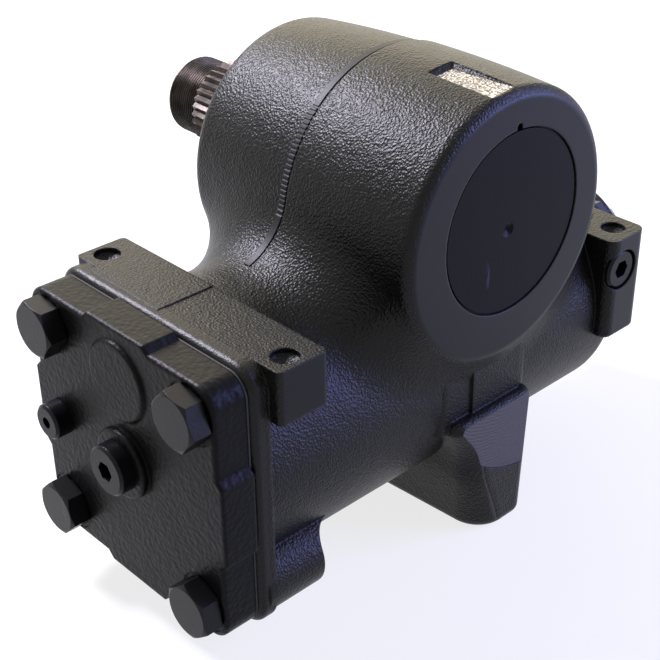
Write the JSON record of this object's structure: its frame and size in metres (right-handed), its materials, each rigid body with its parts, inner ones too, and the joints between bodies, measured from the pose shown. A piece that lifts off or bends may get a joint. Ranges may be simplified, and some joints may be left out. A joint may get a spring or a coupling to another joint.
{
  "type": "power steering gear",
  "caption": "Integral power steering gear: a ball screw drives a rack piston that turns a toothed sector shaft, in a cast housing with a square bolted end cover.",
  "frame": {"origin": "on the output shaft's axis, at the plane where its serrations end and its thread starts, which is where the steering arm's nut side sits", "axes": "+Y points out of the housing along the output shaft, +X runs along the piston from the end cover towards the input shaft, +Z points from the piston up to the output shaft"},
  "size_m": [0.32, 0.2051, 0.2157],
  "materials": {
    "black_painted_casting": "semi-gloss black paint over a rough iron casting",
    "black_painted_steel": "semi-gloss black paint over machined steel",
    "oiled_steel": "bare machined steel with a film of oil",
    "bearing_steel": "ground bearing steel",
    "black_rubber": "matt black seal rubber"
  },
  "bodies": {
    "housing": {"housing": "black_painted_casting", "end_cover": "black_painted_casting", "end_cover_gasket": "black_rubber", "centre_plug": "black_painted_steel", "bleed_plug": "black_painted_steel", "block_plug": "black_painted_steel", "side_cover": "black_painted_steel", "side_cover_seal": "black_rubber", "side_cover_ring": "oiled_steel", "sector_bearing_front": "bearing_steel", "sector_bearing_rear": "bearing_steel", "output_seal": "black_rubber", "dust_seal": "black_rubber", "thrust_bearing_front": "bearing_steel", "thrust_bearing_rear": "bearing_steel", "valve_housing": "black_painted_casting", "valve_housing_seal": "black_rubber", "input_bearing": "bearing_steel", "input_seal": "black_rubber", "input_dust_cap": "black_rubber", "end_cover_bolt_1": "black_painted_steel", "end_cover_bolt_2": "black_painted_steel", "end_cover_bolt_3": "black_painted_steel", "end_cover_bolt_4": "black_painted_steel", "valve_housing_bolt_1": "black_painted_steel", "valve_housing_bolt_2": "black_painted_steel", "valve_housing_bolt_3": "black_painted_steel", "valve_housing_bolt_4": "black_painted_steel"},
    "sector": {"sector_shaft": "oiled_steel"},
    "piston": {"rack_piston": "oiled_steel", "piston_ring": "black_rubber", "piston_plug": "oiled_steel", "ball_circuit": "bearing_steel"},
    "screw": {"worm": "oiled_steel", "torsion_bar": "oiled_steel", "valve_sleeve": "oiled_steel"},
    "input": {"input_shaft": "oiled_steel"}
  },
  "joints": [
    {"name": "sector_turn", "type": "hinge", "parent": "housing", "child": "sector", "pos_m": [0, 0, 0], "axis": [0, 1, 0], "range_deg": [-47, 47]},
    {"name": "piston_travel", "type": "slide", "parent": "housing", "child": "piston", "axis": [1, 0, 0], "range_m": [-0.0271, 0.0271]},
    {"name": "screw_turn", "type": "hinge", "parent": "housing", "child": "screw", "pos_m": [0, -0.1135, -0.077], "axis": [1, 0, 0], "range_deg": [-887, 887]},
    {"name": "input_turn", "type": "hinge", "parent": "screw", "child": "input", "pos_m": [0, -0.1135, -0.077], "axis": [1, 0, 0], "range_deg": [-4, 4], "stiffness_Nm_per_rad": 120}
  ],
  "couplings": [
    {"joint": "piston_travel", "follows": "sector_turn", "m_per_rad": -0.033},
    {"joint": "screw_turn", "follows": "sector_turn", "ratio": 18.85}
  ]
}
